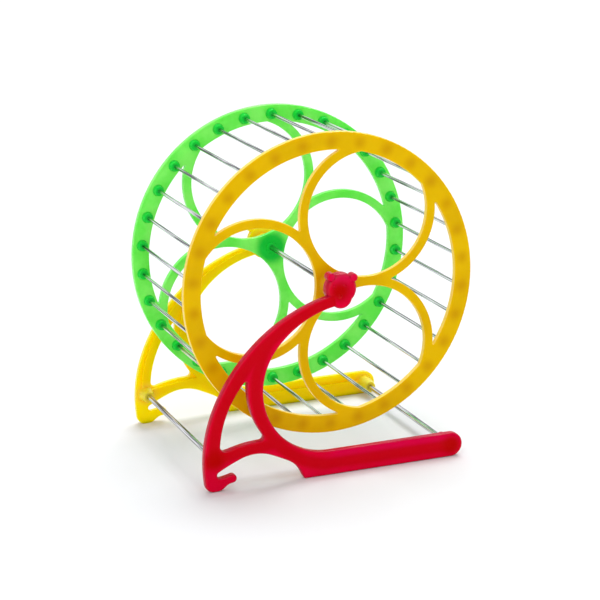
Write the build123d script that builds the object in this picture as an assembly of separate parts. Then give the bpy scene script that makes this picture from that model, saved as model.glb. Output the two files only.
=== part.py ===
from build123d import *
import math
import os

# Running wheel for a small pet, in millimetres.
# The origin is on the floor under the middle of the wheel, with +Z up.
# The axle lies along Y, and the front leg is on the -Y side.

os.makedirs("parts", exist_ok=True)

# Wheel: two lobed side rings joined by wire rungs
wheel_radius = 70.4
axle_height = 86.0
ring_outer_face = 39.5
ring_thickness = 2.9
band_width = 8.2
lobe_count = 3
lobe_centre_radius = 36.3
lobe_hole_radius = 29.2
lobe_rim_width = 4.2
rear_ring_pitches = 4
wheel_turn = 0.9
gap_corner_radius = 0.4
lobe_corner_radius = 1.5
least_gap_area = 50.0
ring_edge_radius = 0.45

# Hub of each ring
hub_boss_radius = 5.2
hub_boss_tip_radius = 4.6
hub_boss_height = 4.0
hub_boss_flare = 1.5
hub_collar_radius = 2.7
hub_collar_height = 0.9
hub_collar_flare = 0.3

# Rungs and their sockets
rung_count = 30
rung_circle_radius = 66.0
rung_radius = 0.8
rung_boss_radius = 2.6
rung_boss_tip_radius = 2.3
rung_boss_height = 2.5
rung_boss_flare = 0.3
rung_depth_in_plate = 1.0
press_clearance = 0.02

# Axle and the rods that tie the two legs together
axle_radius = 1.25
axle_running_clearance = 0.05
rod_radius = 1.25
rod_end_depth = 51.5
foot_rod_place = (-62.4, 15.4)
toe_rod_place = (54.1, 5.8)

# Legs: a plate with a rib on its inner side
leg_outer_face = 53.5
leg_plate_thickness = 3.2
leg_rib_height = 1.5
leg_rib_width = 3.4
leg_edge_radius = 1.2
rod_boss_radius = 3.9
rod_boss_tip_radius = 2.8
foot_boss_tip = 44.0
toe_boss_tip = 41.5
axle_boss_radius = 5.4
axle_boss_tip_radius = 4.4
leg_boss_flare = 0.9
end_play = 0.5

# Small shared sizes
tip_softness = 0.12
rod_end_chamfer = 0.2
flat_tolerance = 0.01
sunk_in = 0.4
overcut = 1.0

# Base bar and hook of a leg, seen from the front
bar_height = 11.6
bar_end_centre_x = 54.1
bar_start_x = -6.9
bay_radius = 31.7
heel_rounding = 4.0
arch_end_rounding = 1.0

# Animal head round the axle socket
head_radius = 7.45
head_lift = 1.0
head_depth = 5.2
head_rounding = 2.8
chin_radius = 5.2
chin_place = (-0.2, -2.7)
chin_rounding = 1.6
ear_radius = 1.95
ear_places = [(-5.4, 7.3), (5.6, 6.0)]
ear_depth = 4.0
ear_rounding = 0.9
eye_places = [(-3.9, 3.2), (1.1, 2.9)]
eye_radius = 0.75
nose_place = (-1.1, -2.0)
nose_radius = 1.0
bead_height = 0.35

ring_inner_face = ring_outer_face - ring_thickness
ring_hole_radius = wheel_radius - band_width
leg_inner_face = leg_outer_face - leg_plate_thickness
hub_boss_tip = ring_outer_face + hub_boss_height
hub_collar_tip = ring_inner_face - hub_collar_height
rung_boss_tip = ring_inner_face - rung_boss_height
axle_boss_tip = hub_boss_tip + end_play
rung_end = ring_inner_face + rung_depth_in_plate
bar_half = bar_height / 2
rung_pitch = 360 / rung_count
rear_ring_turn = rear_ring_pitches * rung_pitch


def on_circle(radius, degrees, centre=(0, 0)):
    """The point at an angle on a circle, measured from +X towards +Z."""
    turn = math.radians(degrees)
    return (centre[0] + radius * math.cos(turn), centre[1] + radius * math.sin(turn))


def front_plane(depth):
    """The upright plane at y = -depth, with local x to the right and local y up."""
    return Plane(origin=(0, -depth, 0), x_dir=(1, 0, 0), z_dir=(0, -1, 0))


def rod(radius, half_length, x, z):
    """A straight rod along Y, centred on y = 0, with its ends broken."""
    bar = front_plane(half_length) * Pos(x, z) * Circle(radius)
    solid = extrude(bar, -2 * half_length)
    return chamfer(solid.edges().filter_by(GeomType.CIRCLE), rod_end_chamfer)


def boss(x, z, base_depth, tip_depth, base_radius, tip_radius, flare):
    """A tapered boss along Y, flared where it leaves the plane y = -base_depth, with a soft tip."""
    height = abs(tip_depth - base_depth)
    heading = 1 if tip_depth < base_depth else -1
    soft = tip_softness * tip_radius
    flare_arc = RadiusArc((base_radius + flare, 0), (base_radius, flare), flare)
    side = Line((base_radius, flare), (tip_radius, height - soft))
    tip_arc = RadiusArc((tip_radius, height - soft), (tip_radius - soft, height), -soft)
    top = Line((tip_radius - soft, height), (0, height))
    middle = Polyline((0, height), (0, 0), (base_radius + flare, 0))
    profile = make_face(Wire([flare_arc, side, tip_arc, top, *middle.edges()]))
    solid = revolve(Plane.XZ * profile, Axis.Z)
    return Plane(origin=(x, -base_depth, z), x_dir=(1, 0, 0), z_dir=(0, heading, 0)) * solid


def bore(radius, x, z, from_depth, to_depth):
    """A round hole along Y between two planes."""
    circle = front_plane(to_depth) * Pos(x, z) * Circle(radius)
    return extrude(circle, from_depth - to_depth)


def rung_places(turn):
    """Where each rung crosses the rings, from the top one on, with the wheel turned by some degrees."""
    angles = [90 - turn - rung_pitch * k for k in range(rung_count)]
    return [on_circle(rung_circle_radius, angle, (0, axle_height)) for angle in angles]


# Side rings

def softened(face, radius):
    """A flat hole on its own, with its corners rounded."""
    alone = make_face(face.outer_wire())
    return fillet(alone.vertices(), radius)


def ring_face():
    """The flat shape of a side ring about the axle: a band and three hoops that meet at the hub."""
    angles = [(k + 0.5) * 360 / lobe_count for k in range(lobe_count)]
    places = [Rot(0, 0, angle) * Pos(lobe_centre_radius, 0) for angle in angles]
    band_hole = Circle(ring_hole_radius)
    gaps = band_hole
    for place in places:
        gaps -= place * Circle(lobe_hole_radius + lobe_rim_width)
    face = Circle(wheel_radius)
    for gap in gaps.faces():
        if gap.area > least_gap_area:
            face -= softened(gap, gap_corner_radius)
    for place in places:
        lobe = place * Circle(lobe_hole_radius) & band_hole
        face -= softened(lobe.faces()[0], lobe_corner_radius)
    return face


def ring_hub():
    """The outer boss and inner collar of a ring's hub, and the bore that runs on the axle."""
    centre = (0, axle_height)
    boss_radii = (hub_boss_radius, hub_boss_tip_radius)
    collar_radii = (hub_collar_radius, hub_collar_radius)
    outer = boss(*centre, ring_outer_face, hub_boss_tip, *boss_radii, hub_boss_flare)
    inner = boss(*centre, ring_inner_face, hub_collar_tip, *collar_radii, hub_collar_flare)
    hole_radius = axle_radius + axle_running_clearance
    return [outer, inner], bore(hole_radius, *centre, hub_collar_tip - overcut, hub_boss_tip + overcut)


def rung_socket(place):
    """A socket's boss, and the blind hole that holds the end of a rung."""
    radii = (rung_boss_radius, rung_boss_tip_radius)
    raised = boss(*place, ring_inner_face, rung_boss_tip, *radii, rung_boss_flare)
    return raised, bore(rung_radius + press_clearance, *place, rung_boss_tip - overcut, rung_end)


def front_ring():
    """The side ring on the -Y side, with a socket for each rung and a bored hub."""
    plate = extrude(front_plane(ring_inner_face) * Pos(0, axle_height) * ring_face(), ring_thickness)
    rims = plate.edges().filter_by(lambda edge: abs(edge.bounding_box().size.Y) < flat_tolerance)
    plate = fillet(rims, ring_edge_radius)
    raised, axle_hole = ring_hub()
    sunk = [axle_hole]
    for place in rung_places(0):
        socket, hole = rung_socket(place)
        raised.append(socket)
        sunk.append(hole)
    return plate + raised - sunk


# Legs

def tangent_chain(first, ends):
    """Arcs that run on smoothly from a first edge, each to the next of some points."""
    chain = [first]
    for end in ends:
        chain.append(TangentArc(chain[-1] @ 1, end, tangent=chain[-1] % 1))
    return chain


def leg_outline():
    """The closed outline of a leg plate, seen from the front."""
    arm_top = (-3.0, 85.4)
    arm_low = (-3.0, 79.6)
    foot_corner = (-66.5, 0.0)
    foot_low = (-61.8, 0.0)
    hook_line = [(-57.7, 1.6), (-54.0, 3.2), (-54.7, 7.2), (-59.7, 6.2), (-60.6, 9.0)]
    arch_line = [(-50.0, 13.9), (-35.0, 13.5), (-27.3, 9.8), (-21.0, 3.1)]
    arch_end = (-19.3, 0.0)
    bay_top = on_circle(bay_radius, 140, (bar_start_x, bar_height + bay_radius))
    bar_end = (bar_end_centre_x, bar_height)
    shin = tangent_chain(ThreePointArc(arm_top, (-39.4, 68.4), (-62.9, 36.3)), [foot_corner])
    hook = tangent_chain(Line(foot_corner, foot_low), [*hook_line, *arch_line, arch_end])
    bar = tangent_chain(Line(arch_end, (bar_end_centre_x, 0)), [bar_end])
    bay = tangent_chain(Line(bar_end, (bar_start_x, bar_height)), [bay_top, arm_low])
    outline = make_face(Wire([*shin, *hook, *bar, *bay, Line(arm_low, arm_top)]))
    for place, radius in [(foot_corner, heel_rounding), (arch_end, arch_end_rounding)]:
        corner = outline.vertices().sort_by_distance(place)[0]
        outline = fillet(corner, radius)
    return outline


def leg_window():
    """The three-cornered window between the post, the foot bar and the inner post."""
    apex = (-46.1, 51.0)
    low_left = (-59.8, 17.6)
    low_right = (-37.4, 21.2)
    edges = [
        ThreePointArc(apex, (-55.2, 37.6), low_left),
        ThreePointArc(low_left, (-50.0, 20.3), low_right),
        ThreePointArc(low_right, (-44.5, 34.5), apex),
    ]
    window = make_face(Wire(edges))
    corner_radii = [(apex, 0.7), (low_left, 2.3), (low_right, 1.6)]
    for place, radius in corner_radii:
        corner = window.vertices().sort_by_distance(place)[0]
        window = fillet(corner, radius)
    return window


def leg_ribs():
    """The stiffening ribs along the middle of the arm, the two posts and the two bars."""
    head_end = (-4.0, 82.4)
    shin = (-59.5, 35.2)
    fork = (-35.8, 66.6)
    post_low = (-33.7, 20.1)
    bar_begin = (-9.1, bar_half)
    foot_bar_end = (-32.9, 19.1)
    outer_post = tangent_chain(ThreePointArc(head_end, (-36.8, 65.8), shin), [foot_rod_place])
    inner_post = tangent_chain(ThreePointArc(fork, (-42.4, 43.7), post_low), [bar_begin])
    foot_bar = ThreePointArc(foot_rod_place, (-47.1, 17.8), foot_bar_end)
    ribs = Sketch()
    for line in (*outer_post, *inner_post, foot_bar, Line(bar_begin, toe_rod_place)):
        ribs += trace(line, leg_rib_width)
    return ribs


def rounded_button(x, z, radius, depth, rounding):
    """A round button standing on the leg's outer face, rounded over at its front."""
    disc = front_plane(leg_outer_face - depth) * Pos(x, axle_height + z) * Circle(radius)
    button = extrude(disc, depth)
    return fillet(button.edges().group_by(Axis.Y)[0], rounding)


def bead(x, z, radius):
    """A low round bead on the face of the head."""
    ball_radius = (radius ** 2 + bead_height ** 2) / (2 * bead_height)
    sunk = ball_radius - bead_height
    return Pos(x, sunk - leg_outer_face, axle_height + z) * Sphere(ball_radius)


def animal_head():
    """A plain round head with two ears and a chin, with beads for its eyes and nose."""
    head = rounded_button(0, head_lift, head_radius, head_depth, head_rounding)
    head += rounded_button(*chin_place, chin_radius, head_depth, chin_rounding)
    head += bead(*nose_place, nose_radius)
    for place in ear_places:
        head += rounded_button(*place, ear_radius, ear_depth, ear_rounding)
    for place in eye_places:
        head += bead(*place, eye_radius)
    return head


def front_leg():
    """The leg on the -Y side: plate, ribs, head and the sockets for the axle and two rods."""
    plate = extrude(front_plane(leg_inner_face) * (leg_outline() - leg_window()), leg_plate_thickness)
    plate = fillet(plate.edges().group_by(Axis.Y)[0], leg_edge_radius)
    ribs = extrude(front_plane(leg_inner_face - leg_rib_height) * leg_ribs(), leg_rib_height + sunk_in)
    base = leg_inner_face + sunk_in
    axle_boss_radii = (axle_boss_radius, axle_boss_tip_radius)
    rod_boss_radii = (rod_boss_radius, rod_boss_tip_radius)
    axle_place = (0, axle_height)
    raised = [boss(*axle_place, base, axle_boss_tip, *axle_boss_radii, leg_boss_flare)]
    sunk = [bore(axle_radius + press_clearance, *axle_place, axle_boss_tip - overcut, rod_end_depth)]
    for place, tip in ((foot_rod_place, foot_boss_tip), (toe_rod_place, toe_boss_tip)):
        raised.append(boss(*place, base, tip, *rod_boss_radii, leg_boss_flare))
        sunk.append(bore(rod_radius + press_clearance, *place, tip - overcut, rod_end_depth))
    return plate + ribs + animal_head() + raised - sunk


# Assembly

leg = front_leg()
ring = front_ring()
axle_line = Axis((0, 0, axle_height), (0, 1, 0))
nodes = {
    "front_leg": leg,
    "rear_leg": mirror(leg, about=Plane.XZ),
    "front_ring": ring.rotate(axle_line, wheel_turn),
    "rear_ring": mirror(ring, about=Plane.XZ).rotate(axle_line, wheel_turn - rear_ring_turn),
    "axle": rod(axle_radius, rod_end_depth, 0, axle_height),
    "foot_rod": rod(rod_radius, rod_end_depth, *foot_rod_place),
    "toe_rod": rod(rod_radius, rod_end_depth, *toe_rod_place),
}
for number, place in enumerate(rung_places(wheel_turn), start=1):
    nodes[f"rung_{number:02d}"] = rod(rung_radius, rung_end, *place)

for name, solid in nodes.items():
    export_step(solid, f"parts/{name}.step")
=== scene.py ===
import math

import bpy
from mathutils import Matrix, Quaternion, Vector

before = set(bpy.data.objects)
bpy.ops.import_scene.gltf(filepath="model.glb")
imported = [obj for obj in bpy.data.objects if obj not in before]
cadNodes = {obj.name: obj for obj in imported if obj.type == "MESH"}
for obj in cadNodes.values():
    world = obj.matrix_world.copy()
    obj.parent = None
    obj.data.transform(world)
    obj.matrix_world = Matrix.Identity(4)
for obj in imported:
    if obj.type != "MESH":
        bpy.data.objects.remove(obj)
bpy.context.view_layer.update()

print("frame loaded:", len(cadNodes), "nodes")


# node building

def paint(red, green, blue):      # a colour as it looks on screen, 0 to 255
    channels = []
    for value in (red, green, blue):
        share = value / 255
        channels.append(share / 12.92 if share <= 0.04045 else ((share + 0.055) / 1.055) ** 2.4)
    return (*channels, 1.0)


def feed(tree, socket, value):
    if isinstance(value, bpy.types.NodeSocket):
        tree.links.new(value, socket)
    elif value is not None:
        socket.default_value = value


def calc(tree, operation, *values):
    node = tree.nodes.new("ShaderNodeMath")
    node.operation = operation
    for socket, value in zip(node.inputs, values):
        feed(tree, socket, value)
    return node.outputs[0]


def vectorCalc(tree, operation, *values):
    node = tree.nodes.new("ShaderNodeVectorMath")
    node.operation = operation
    for socket, value in zip(node.inputs, values):
        feed(tree, socket, value)
    return node.outputs["Value" if operation in ("LENGTH", "DOT_PRODUCT") else "Vector"]


def separate(tree, place):
    node = tree.nodes.new("ShaderNodeSeparateXYZ")
    feed(tree, node.inputs[0], place)
    return node.outputs


def ramp(tree, value, start, end, low=0.0, high=1.0, kind="LINEAR"):
    node = tree.nodes.new("ShaderNodeMapRange")
    node.interpolation_type = kind
    parts = {"Value": value, "From Min": start, "From Max": end, "To Min": low, "To Max": high}
    for label, part in parts.items():
        feed(tree, node.inputs[label], part)
    return node.outputs[0]


def fade(tree, value, start, end, low=0.0, high=1.0):
    return ramp(tree, value, start, end, low, high, "SMOOTHSTEP")


def blendPaint(tree, mask, under, over):
    node = tree.nodes.new("ShaderNodeMix")
    node.data_type = "RGBA"
    feed(tree, node.inputs[0], mask)
    feed(tree, node.inputs[6], under)
    feed(tree, node.inputs[7], over)
    return node.outputs[2]


def noise(tree, place, scale, detail, roughness=0.5):
    node = tree.nodes.new("ShaderNodeTexNoise")
    feed(tree, node.inputs["Vector"], place)
    feed(tree, node.inputs["Scale"], scale)
    node.inputs["Detail"].default_value = detail
    node.inputs["Roughness"].default_value = roughness
    return node.outputs["Fac"]


def addBump(tree, shader, height, strength, distance):
    bump = tree.nodes.new("ShaderNodeBump")
    bump.inputs["Strength"].default_value = strength
    bump.inputs["Distance"].default_value = distance
    feed(tree, bump.inputs["Height"], height)
    feed(tree, shader.inputs["Normal"], bump.outputs[0])


def newGroup(name, inputs, outputs):
    group = bpy.data.node_groups.new(name, "ShaderNodeTree")
    for label, kind, value in inputs:
        socket = group.interface.new_socket(label, in_out="INPUT", socket_type=kind)
        if value is not None:
            socket.default_value = value
    for label in outputs:
        group.interface.new_socket(label, in_out="OUTPUT", socket_type="NodeSocketFloat")
    source = group.nodes.new("NodeGroupInput")
    sink = group.nodes.new("NodeGroupOutput")
    return group, source.outputs, sink.inputs


def useGroup(tree, group, **values):
    node = tree.nodes.new("ShaderNodeGroup")
    node.node_tree = group
    for label, value in values.items():
        feed(tree, node.inputs[label], value)
    return node.outputs


# camera, as the photo was taken
cameraSetup = {
    "target": (0.00019, 0.0, 0.06874),
    "distance": 0.9645,
    "azimuth": -21.29,
    "elevation": 15.65,
    "roll": -0.90,
    "lens": 122.3,
    "sensor": 36.0,
}


def placeCamera(setup):
    azimuth = math.radians(setup["azimuth"])
    elevation = math.radians(setup["elevation"])
    back = Vector((math.sin(azimuth) * math.cos(elevation),
                   -math.cos(azimuth) * math.cos(elevation), math.sin(elevation)))
    roll = Quaternion((0, 0, 1), math.radians(setup["roll"]))
    lens = bpy.data.cameras.new("photoCamera")
    lens.lens = setup["lens"]
    lens.sensor_width = setup["sensor"]
    camera = bpy.data.objects.new("photoCamera", lens)
    camera.location = Vector(setup["target"]) + back * setup["distance"]
    camera.rotation_euler = (back.to_track_quat("Z", "Y") @ roll).to_euler()
    bpy.context.collection.objects.link(camera)
    bpy.context.scene.camera = camera


placeCamera(cameraSetup)
print("camera placed")


# studio
studio = {
    "floorSize": 14.0,
    "floorColour": (0.776, 0.786, 0.81, 1.0),
    "floorLift": 0.02,         # white added to the floor where it is seen
    "roomStart": -0.8,         # directions along Y, from the front side to the back
    "roomEnd": 0.8,
    "worldFront": 0.38,        # the room on the front side
    "worldBack": 0.62,         # the white sweep behind
    "sweepStart": 0.0,
    "sweepFull": 0.4,
}

studioLamps = {
    "topLight": {"energy": 2.3, "angle": 42.0, "turn": (-22.0, 16.0, 0.0)},
    "fillLight": {"energy": 1.4, "angle": 90.0, "turn": (58.0, 0.0, -34.0)},
}


def addFloor(setup):
    bpy.ops.mesh.primitive_plane_add(size=setup["floorSize"], location=(0, 0, 0))
    floor = bpy.context.object
    floor.name = "studioFloor"
    material = bpy.data.materials.new("studioFloorPaper")
    material.use_nodes = True
    tree = material.node_tree
    tree.nodes.clear()
    paper = tree.nodes.new("ShaderNodeBsdfDiffuse")
    paper.inputs["Color"].default_value = setup["floorColour"]
    path = tree.nodes.new("ShaderNodeLightPath").outputs
    seen = calc(tree, "MAXIMUM", path["Is Camera Ray"], path["Is Glossy Ray"])
    seen = calc(tree, "MAXIMUM", seen, path["Is Transmission Ray"])
    glow = tree.nodes.new("ShaderNodeEmission")
    feed(tree, glow.inputs["Strength"], calc(tree, "MULTIPLY", seen, setup["floorLift"]))
    both = tree.nodes.new("ShaderNodeAddShader")
    feed(tree, both.inputs[0], paper.outputs[0])
    feed(tree, both.inputs[1], glow.outputs[0])
    output = tree.nodes.new("ShaderNodeOutputMaterial")
    feed(tree, output.inputs["Surface"], both.outputs[0])
    floor.data.materials.append(material)


def lightWorld(setup):
    world = bpy.data.worlds.new("studioWorld")
    bpy.context.scene.world = world
    world.use_nodes = True
    tree = world.node_tree
    background = tree.nodes["Background"]
    background.inputs["Color"].default_value = (1, 1, 1, 1)
    # the room is dimmer on the front side
    along = separate(tree, tree.nodes.new("ShaderNodeTexCoord").outputs["Generated"])["Y"]
    room = ramp(tree, along, setup["roomStart"], setup["roomEnd"], setup["worldFront"], setup["worldBack"])
    # the camera sees plain white, and metal and gloss see it where the sweep stands behind the object
    behind = ramp(tree, along, setup["sweepStart"], setup["sweepFull"])
    path = tree.nodes.new("ShaderNodeLightPath").outputs
    mirrored = calc(tree, "MAXIMUM", path["Is Glossy Ray"], path["Is Transmission Ray"])
    seen = calc(tree, "MAXIMUM", path["Is Camera Ray"], calc(tree, "MULTIPLY", mirrored, behind))
    feed(tree, background.inputs["Strength"], ramp(tree, seen, 0.0, 1.0, room, 1.0))


def addLamp(name, setup):
    lamp = bpy.data.lights.new(name, "SUN")
    lamp.energy = setup["energy"]
    lamp.angle = math.radians(setup["angle"])
    holder = bpy.data.objects.new(name, lamp)
    holder.rotation_euler = [math.radians(value) for value in setup["turn"]]
    bpy.context.collection.objects.link(holder)


addFloor(studio)
lightWorld(studio)
for lampName, lampSetup in studioLamps.items():
    addLamp(lampName, lampSetup)
bpy.context.scene.view_settings.view_transform = "Standard"
print("floor and lights in place")


# shader groups

floatKind = "NodeSocketFloat"
vectorKind = "NodeSocketVector"
millimetre = 0.001
acrossAxle = (1, 0, 1)      # keeps what lies across the axle

wheelPlan = {
    "axleHeight": 0.086, "rungCount": 30, "rungCircle": 0.066,
    "firstRung": 90.0, "turn": 0.9,
    "insideEnds": 0.0370, "outsideStarts": 0.0390,      # distances from the wheel's middle, along the axle
}

flowPlan = {
    "cloudDetail": 3.0, "cloudRoughness": 0.55, "cloudSpan": (0.32, 0.68),
    "grainDetail": 2.0, "grainHeight": 0.06,
    "waveDetail": 1.0, "waveScale": 2.4,      # waves for each cloud
}

# the darker middles of the leg, where the rib behind makes it thicker, in millimetres
legRibs = {
    "arcs": [
        ((-4.0, 82.4), (-36.8, 65.8), (-59.5, 35.2)),
        ((-59.5, 35.2), (-62.23, 25.49), (-62.4, 15.4)),
        ((-35.8, 66.6), (-42.4, 43.7), (-33.7, 20.1)),
        ((-33.7, 20.1), (-22.72, 10.68), (-9.1, 5.8)),
        ((-62.4, 15.4), (-47.1, 17.8), (-32.9, 19.1)),
    ],
    "arcEnd": 0.004,
    "barStart": -9.1,
    "barEnd": 54.1,
    "barHeight": 5.8,
}


# a round soft spot about a line along Y
def buildRoundSpot():
    group, given, out = newGroup("roundSpot", [
        ("Place", vectorKind, None), ("Centre", vectorKind, None),
        ("Radius", floatKind, 0.003), ("Softness", floatKind, 0.001)], ["Mask"])
    away = vectorCalc(group, "SUBTRACT", given["Place"], given["Centre"])
    distance = vectorCalc(group, "LENGTH", vectorCalc(group, "MULTIPLY", away, acrossAxle))
    reach = calc(group, "ADD", given["Radius"], given["Softness"])
    feed(group, out["Mask"], fade(group, distance, reach, given["Radius"]))
    return group


def lengthOf(tree, along, across):
    squares = calc(tree, "ADD", calc(tree, "POWER", along, 2.0), calc(tree, "POWER", across, 2.0))
    return calc(tree, "SQRT", squares)


# one soft spot at each rung, all the way round the ring
def buildRungSpots(wheel):
    group, given, out = newGroup("rungSpots", [
        ("Place", vectorKind, None), ("Radius", floatKind, 0.003), ("Softness", floatKind, 0.001)], ["Mask"])
    away = vectorCalc(group, "SUBTRACT", given["Place"], (0, 0, wheel["axleHeight"]))
    parts = separate(group, away)
    halfPitch = math.pi / wheel["rungCount"]
    turn = calc(group, "ARCTAN2", parts["Z"], parts["X"])
    turn = calc(group, "SUBTRACT", turn, math.radians(wheel["firstRung"] - wheel["turn"]))
    turn = calc(group, "WRAP", turn, halfPitch, -halfPitch)
    spread = vectorCalc(group, "LENGTH", vectorCalc(group, "MULTIPLY", away, acrossAxle))
    outward = calc(group, "MULTIPLY", spread, calc(group, "COSINE", turn))
    sideways = calc(group, "MULTIPLY", spread, calc(group, "SINE", turn))
    distance = lengthOf(group, calc(group, "SUBTRACT", outward, wheel["rungCircle"]), sideways)
    reach = calc(group, "ADD", given["Radius"], given["Softness"])
    feed(group, out["Mask"], fade(group, distance, reach, given["Radius"]))
    return group


# the rims and hole walls, where the plate is seen on its edge
def buildRims():
    group, given, out = newGroup("rims", [
        ("Normal", vectorKind, None), ("Start", floatKind, 0.8), ("Full", floatKind, 0.3)], ["Mask"])
    facing = calc(group, "ABSOLUTE", separate(group, given["Normal"])["Y"])
    feed(group, out["Mask"], fade(group, facing, given["Start"], given["Full"]))
    return group


# slow clouds in the plastic, and the faint unevenness of a moulded face
def buildMouldFlow(flow):
    group, given, out = newGroup("mouldFlow", [
        ("Place", vectorKind, None), ("Cloud Scale", floatKind, 70.0), ("Grain Scale", floatKind, 900.0)],
        ["Clouds", "Height", "Gloss"])
    clouds = noise(group, given["Place"], given["Cloud Scale"], flow["cloudDetail"], flow["cloudRoughness"])
    grain = noise(group, given["Place"], given["Grain Scale"], flow["grainDetail"])
    waveScale = calc(group, "MULTIPLY", given["Cloud Scale"], flow["waveScale"])
    waves = noise(group, given["Place"], waveScale, flow["waveDetail"])
    feed(group, out["Clouds"], fade(group, clouds, *flow["cloudSpan"]))
    feed(group, out["Height"], calc(group, "ADD", calc(group, "MULTIPLY", grain, flow["grainHeight"]), waves))
    feed(group, out["Gloss"], grain)
    return group


# a soft line along one arc of the leg's ribs
def buildArcLine(ribs):
    group, given, out = newGroup("arcLine", [
        ("Place", vectorKind, None), ("Centre", vectorKind, None), ("Radius", floatKind, 0.05),
        ("Middle", vectorKind, None), ("Spread", floatKind, 0.5),
        ("Width", floatKind, 0.002), ("Softness", floatKind, 0.001)], ["Mask"])
    away = vectorCalc(group, "SUBTRACT", given["Place"], given["Centre"])
    flat = vectorCalc(group, "MULTIPLY", away, acrossAxle)
    offArc = calc(group, "SUBTRACT", vectorCalc(group, "LENGTH", flat), given["Radius"])
    reach = calc(group, "ADD", given["Width"], given["Softness"])
    line = fade(group, calc(group, "ABSOLUTE", offArc), reach, given["Width"])
    facing = vectorCalc(group, "DOT_PRODUCT", vectorCalc(group, "NORMALIZE", flat), given["Middle"])
    limit = calc(group, "SUBTRACT", given["Spread"], ribs["arcEnd"])
    feed(group, out["Mask"], calc(group, "MULTIPLY", line, fade(group, facing, limit, given["Spread"])))
    return group


def circleThrough(first, middle, last):
    (ax, az), (bx, bz), (cx, cz) = first, middle, last
    double = 2 * (ax * (bz - cz) + bx * (cz - az) + cx * (az - bz))
    a, b, c = ax * ax + az * az, bx * bx + bz * bz, cx * cx + cz * cz
    x = (a * (bz - cz) + b * (cz - az) + c * (az - bz)) / double
    z = (a * (cx - bx) + b * (ax - cx) + c * (bx - ax)) / double
    return Vector((x, 0, z)), math.hypot(ax - x, az - z)


# all the ribs of the leg: the arcs, and the straight one in the base bar
def buildRibShade(ribs, arcLine):
    group, given, out = newGroup("ribShade", [
        ("Place", vectorKind, None), ("Width", floatKind, 0.0016), ("Softness", floatKind, 0.0018)], ["Mask"])
    shade = 0.0
    for arc in ribs["arcs"]:
        centre, radius = circleThrough(*arc)
        ends = [(Vector((x, 0, z)) - centre).normalized() for x, z in arc]
        middle = (ends[0] + ends[2]).normalized()
        line = useGroup(group, arcLine, Place=given["Place"], Centre=centre * millimetre,
                        Radius=radius * millimetre, Middle=middle, Spread=middle.dot(ends[0]),
                        Width=given["Width"], Softness=given["Softness"])
        shade = calc(group, "MAXIMUM", line["Mask"], shade)
    parts = separate(group, given["Place"])
    nearest = calc(group, "MAXIMUM", parts["X"], ribs["barStart"] * millimetre)
    nearest = calc(group, "MINIMUM", nearest, ribs["barEnd"] * millimetre)
    distance = lengthOf(group, calc(group, "SUBTRACT", parts["X"], nearest),
                        calc(group, "SUBTRACT", parts["Z"], ribs["barHeight"] * millimetre))
    reach = calc(group, "ADD", given["Width"], given["Softness"])
    bar = fade(group, distance, reach, given["Width"])
    feed(group, out["Mask"], calc(group, "MAXIMUM", shade, bar))
    return group


roundSpot = buildRoundSpot()
rungSpots = buildRungSpots(wheelPlan)
rims = buildRims()
mouldFlow = buildMouldFlow(flowPlan)
ribShade = buildRibShade(legRibs, buildArcLine(legRibs))
print("shader groups built")


# plastics

plasticPlan = {
    "ior": 1.5,
    "bumpDepth": 0.0002,
    "grainSpan": (0.3, 0.7),
    "glossStart": 0.97,      # how squarely a face looks along Y where its edge gloss starts
    "glossFull": 0.7,
}


def startPlastic(name, setup):
    material = bpy.data.materials.new(name)
    material.use_nodes = True
    tree = material.node_tree
    shader = tree.nodes["Principled BSDF"]
    shader.inputs["IOR"].default_value = plasticPlan["ior"]
    shader.inputs["Specular IOR Level"].default_value = setup["specular"]
    shader.inputs["Coat Roughness"].default_value = setup["coatRoughness"]
    shader.inputs["Subsurface Weight"].default_value = setup["subsurface"]
    shader.inputs["Subsurface Radius"].default_value = setup["subsurfaceTint"]
    shader.inputs["Subsurface Scale"].default_value = setup["subsurfaceDepth"]
    place = tree.nodes.new("ShaderNodeTexCoord").outputs
    flow = useGroup(tree, mouldFlow, **{"Place": place["Object"], "Cloud Scale": setup["cloudScale"]})
    addBump(tree, shader, flow["Height"], setup["bump"], plasticPlan["bumpDepth"])
    roughness = fade(tree, flow["Gloss"], *plasticPlan["grainSpan"], *setup["roughness"])
    feed(tree, shader.inputs["Roughness"], roughness)
    # the rounded edges are glossier than the flat faces
    edges = useGroup(tree, rims, Normal=place["Normal"],
                     Start=plasticPlan["glossStart"], Full=plasticPlan["glossFull"])
    gloss = fade(tree, edges["Mask"], 0.0, 1.0, *setup["coat"])
    colour = blendPaint(tree, flow["Clouds"], setup["deep"], setup["face"])
    return material, tree, shader, place, colour, gloss


def dress(names, material):
    for name in names:
        slots = cadNodes[name].data.materials
        slots.clear()
        slots.append(material)


# spots are radius, softness and share of the spot's colour
ringAmber = {
    "face": paint(230, 189, 0), "deep": paint(222, 179, 0),
    # the pale edge colour is a painted highlight on the rims
    "spot": paint(203, 143, 0), "edge": paint(255, 226, 120),
    "bossSpot": (0.0025, 0.0005, 0.75), "faceSpot": (0.0002, 0.0046, 0.6), "hubSpot": (0.004, 0.008, 0.6),
    "edgeShare": 0.62,
    "cloudScale": 60.0, "bump": 0.1, "roughness": (0.26, 0.34),
    "specular": 0.03, "coat": (0.02, 0.35), "coatRoughness": 0.1,
    "subsurface": 0.4, "subsurfaceTint": (1.0, 0.6, 0.15), "subsurfaceDepth": 0.003,
}

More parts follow.
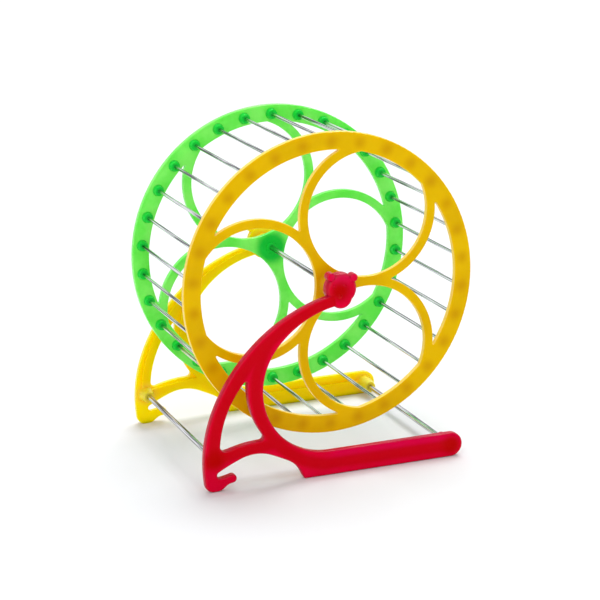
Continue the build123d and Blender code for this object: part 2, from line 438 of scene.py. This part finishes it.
ringGreen = {
    "face": paint(136, 250, 108), "deep": paint(104, 238, 82),
    # the darker edge colour is painted shade on the rims
    "spot": paint(0, 204, 60), "edge": paint(112, 222, 94),
    "bossSpot": (0.0025, 0.0005, 0.96), "faceSpot": (0.0006, 0.0040, 0.7), "hubSpot": (0.0050, 0.0050, 0.96),
    "edgeShare": 0.15,
    "cloudScale": 75.0, "bump": 0.12, "roughness": (0.22, 0.32),
    "specular": 0.06, "coat": (0.1, 0.45), "coatRoughness": 0.06,
    "subsurface": 0.5, "subsurfaceTint": (0.5, 1.0, 0.4), "subsurfaceDepth": 0.003,
}


def spotAtRungs(tree, place, spot):
    radius, softness, share = spot
    spots = useGroup(tree, rungSpots, Place=place["Object"], Radius=radius, Softness=softness)
    return calc(tree, "MULTIPLY", spots["Mask"], share)


def makeRingPlastic(name, setup, wheel):
    material, tree, shader, place, colour, gloss = startPlastic(name, setup)
    # the sockets are crisp bosses on the inside, and shine softly through the plate on the outside
    depth = calc(tree, "ABSOLUTE", separate(tree, place["Object"])["Y"])
    outside = fade(tree, depth, wheel["insideEnds"], wheel["outsideStarts"])
    spots = fade(tree, outside, 0.0, 1.0, spotAtRungs(tree, place, setup["bossSpot"]),
                 spotAtRungs(tree, place, setup["faceSpot"]))
    radius, softness, share = setup["hubSpot"]
    hub = useGroup(tree, roundSpot, Place=place["Object"], Centre=(0, 0, wheel["axleHeight"]),
                   Radius=radius, Softness=softness)
    shade = calc(tree, "MAXIMUM", spots, calc(tree, "MULTIPLY", hub["Mask"], share))
    colour = blendPaint(tree, shade, colour, setup["spot"])
    # the hub's wall is shaded by the leg's head, so it keeps no gloss
    notHub = calc(tree, "SUBTRACT", 1.0, hub["Mask"])
    feed(tree, shader.inputs["Coat Weight"], calc(tree, "MULTIPLY", gloss, notHub))
    # the rims get the painted edge colour: a highlight on the amber ring, shade on the green ring
    edges = useGroup(tree, rims, Normal=place["Normal"])
    notBoss = calc(tree, "MULTIPLY", notHub, calc(tree, "SUBTRACT", 1.0, spots))
    edgeMask = calc(tree, "MULTIPLY", calc(tree, "MULTIPLY", edges["Mask"], setup["edgeShare"]), notBoss)
    feed(tree, shader.inputs["Base Color"], blendPaint(tree, edgeMask, colour, setup["edge"]))
    return material


legRed = {
    "face": paint(224, 0, 54), "deep": paint(216, 0, 45), "rib": paint(200, 0, 14),
    # the darker edge colour is painted shade along the rounded edges
    "socket": paint(188, 0, 0), "edge": paint(176, 2, 44),
    # the pale colour for the top of the head is a painted highlight
    "upperBar": paint(216, 0, 66), "topHighlight": paint(220, 16, 74),
    "ribShare": 0.9, "ribWidth": 0.0014, "ribSoftness": 0.0028,
    "edgeShare": 0.75, "edgeStart": 0.96, "edgeFull": 0.5,
    "cloudScale": 60.0, "bump": 0.1, "roughness": (0.22, 0.3),
    "specular": 0.02, "coat": (0.02, 0.35), "coatRoughness": 0.08,
    "subsurface": 0.3, "subsurfaceTint": (1.0, 0.1, 0.2), "subsurfaceDepth": 0.003,
}

legYellow = {
    "face": paint(255, 218, 0), "deep": paint(255, 212, 0), "rib": paint(252, 199, 0),
    # the darker edge colour is painted shade along the rounded edges
    "socket": paint(234, 198, 66), "edge": paint(252, 206, 0),
    # the pale colour for the top of the head is a painted highlight
    "upperBar": paint(255, 210, 0), "topHighlight": paint(255, 218, 50),
    "ribShare": 0.7, "ribWidth": 0.0012, "ribSoftness": 0.0030,
    "edgeShare": 0.5, "edgeStart": 0.8, "edgeFull": 0.3,
    "cloudScale": 60.0, "bump": 0.1, "roughness": (0.24, 0.32),
    "specular": 0.05, "coat": (0.05, 0.4), "coatRoughness": 0.1,
    "subsurface": 0.9, "subsurfaceTint": (1.0, 0.66, 0.16), "subsurfaceDepth": 0.011,
}

legPlaces = {
    "sockets": {"axle": (-0.0013, 0, 0.0864), "foot": (-0.0624, 0, 0.0154), "toe": (0.0541, 0, 0.0058)},
    "socketRadius": 0.0014, "socketSoftness": 0.0060,
    # where the painted highlight sits, on the top of the head
    "topHighlight": (0, 0, 0.0955), "topHighlightRadius": 0.0035, "topHighlightSoftness": 0.005,
    "barAlong": (-0.012, 0.0),        # where the base bar begins, along X
    "barBelow": (0.03, 0.02),         # heights between which the leg stops being bar
    "upperBarHeights": (0.006, 0.0085),       # heights between which the bar is painted paler
}


def makeLegPlastic(name, setup, places):
    material, tree, shader, place, colour, gloss = startPlastic(name, setup)
    feed(tree, shader.inputs["Coat Weight"], gloss)
    # the upper part of the base bar is painted paler
    parts = separate(tree, place["Object"])
    upperBar = fade(tree, parts["Z"], *places["upperBarHeights"])
    onBar = calc(tree, "MULTIPLY", fade(tree, parts["X"], *places["barAlong"]),
                 fade(tree, parts["Z"], *places["barBelow"]))
    colour = blendPaint(tree, calc(tree, "MULTIPLY", upperBar, onBar), colour, setup["upperBar"])
    ribs = useGroup(tree, ribShade, Place=place["Object"],
                    Width=setup["ribWidth"], Softness=setup["ribSoftness"])
    colour = blendPaint(tree, calc(tree, "MULTIPLY", ribs["Mask"], setup["ribShare"]), colour, setup["rib"])
    # a painted highlight on the top of the head, where light falls from above
    topHighlight = useGroup(tree, roundSpot, Place=place["Object"], Centre=places["topHighlight"],
                   Radius=places["topHighlightRadius"], Softness=places["topHighlightSoftness"])
    colour = blendPaint(tree, topHighlight["Mask"], colour, setup["topHighlight"])
    for centre in places["sockets"].values():
        spot = useGroup(tree, roundSpot, Place=place["Object"], Centre=centre,
                        Radius=places["socketRadius"], Softness=places["socketSoftness"])
        colour = blendPaint(tree, spot["Mask"], colour, setup["socket"])
    # the rounded edges get the painted edge colour, as shade
    edges = useGroup(tree, rims, Normal=place["Normal"], Start=setup["edgeStart"], Full=setup["edgeFull"])
    edgeMask = calc(tree, "MULTIPLY", edges["Mask"], setup["edgeShare"])
    feed(tree, shader.inputs["Base Color"], blendPaint(tree, edgeMask, colour, setup["edge"]))
    return material


dress(["front_ring"], makeRingPlastic("amberRingPlastic", ringAmber, wheelPlan))
dress(["rear_ring"], makeRingPlastic("greenRingPlastic", ringGreen, wheelPlan))
dress(["front_leg"], makeLegPlastic("redLegPlastic", legRed, legPlaces))
dress(["rear_leg"], makeLegPlastic("yellowLegPlastic", legYellow, legPlaces))
print("plastics done")


# steel wire

drawnWire = {
    "pale": paint(224, 224, 228), "dark": paint(64, 64, 72),
    "stretch": (1.0, 0.012, 1.0), "streakScale": 2200.0, "streakDetail": 2.0, "streakRoughness": 0.6,
    "paleSpan": (0.40, 0.58), "roughSpan": (0.3, 0.7), "roughness": (0.26, 0.14),
    "bump": 0.25, "bumpDepth": 0.0001,
}


def makeDrawnWire(setup):
    material = bpy.data.materials.new("drawnSteelWire")
    material.use_nodes = True
    tree = material.node_tree
    shader = tree.nodes["Principled BSDF"]
    shader.inputs["Metallic"].default_value = 1.0
    mapping = tree.nodes.new("ShaderNodeMapping")      # streaks run along the wire
    mapping.inputs["Scale"].default_value = setup["stretch"]
    feed(tree, mapping.inputs["Vector"], tree.nodes.new("ShaderNodeTexCoord").outputs["Object"])
    # the pale and dark streaks are lines in the drawn steel, and also painted reflections along the wire
    streaks = noise(tree, mapping.outputs[0], setup["streakScale"],
                    setup["streakDetail"], setup["streakRoughness"])
    colour = blendPaint(tree, fade(tree, streaks, *setup["paleSpan"]), setup["dark"], setup["pale"])
    feed(tree, shader.inputs["Base Color"], colour)
    roughness = fade(tree, streaks, *setup["roughSpan"], *setup["roughness"])
    feed(tree, shader.inputs["Roughness"], roughness)
    addBump(tree, shader, streaks, setup["bump"], setup["bumpDepth"])
    return material


wires = ["axle", "foot_rod", "toe_rod"] + [f"rung_{k:02d}" for k in range(1, wheelPlan["rungCount"] + 1)]
dress(wires, makeDrawnWire(drawnWire))
print("steel done")
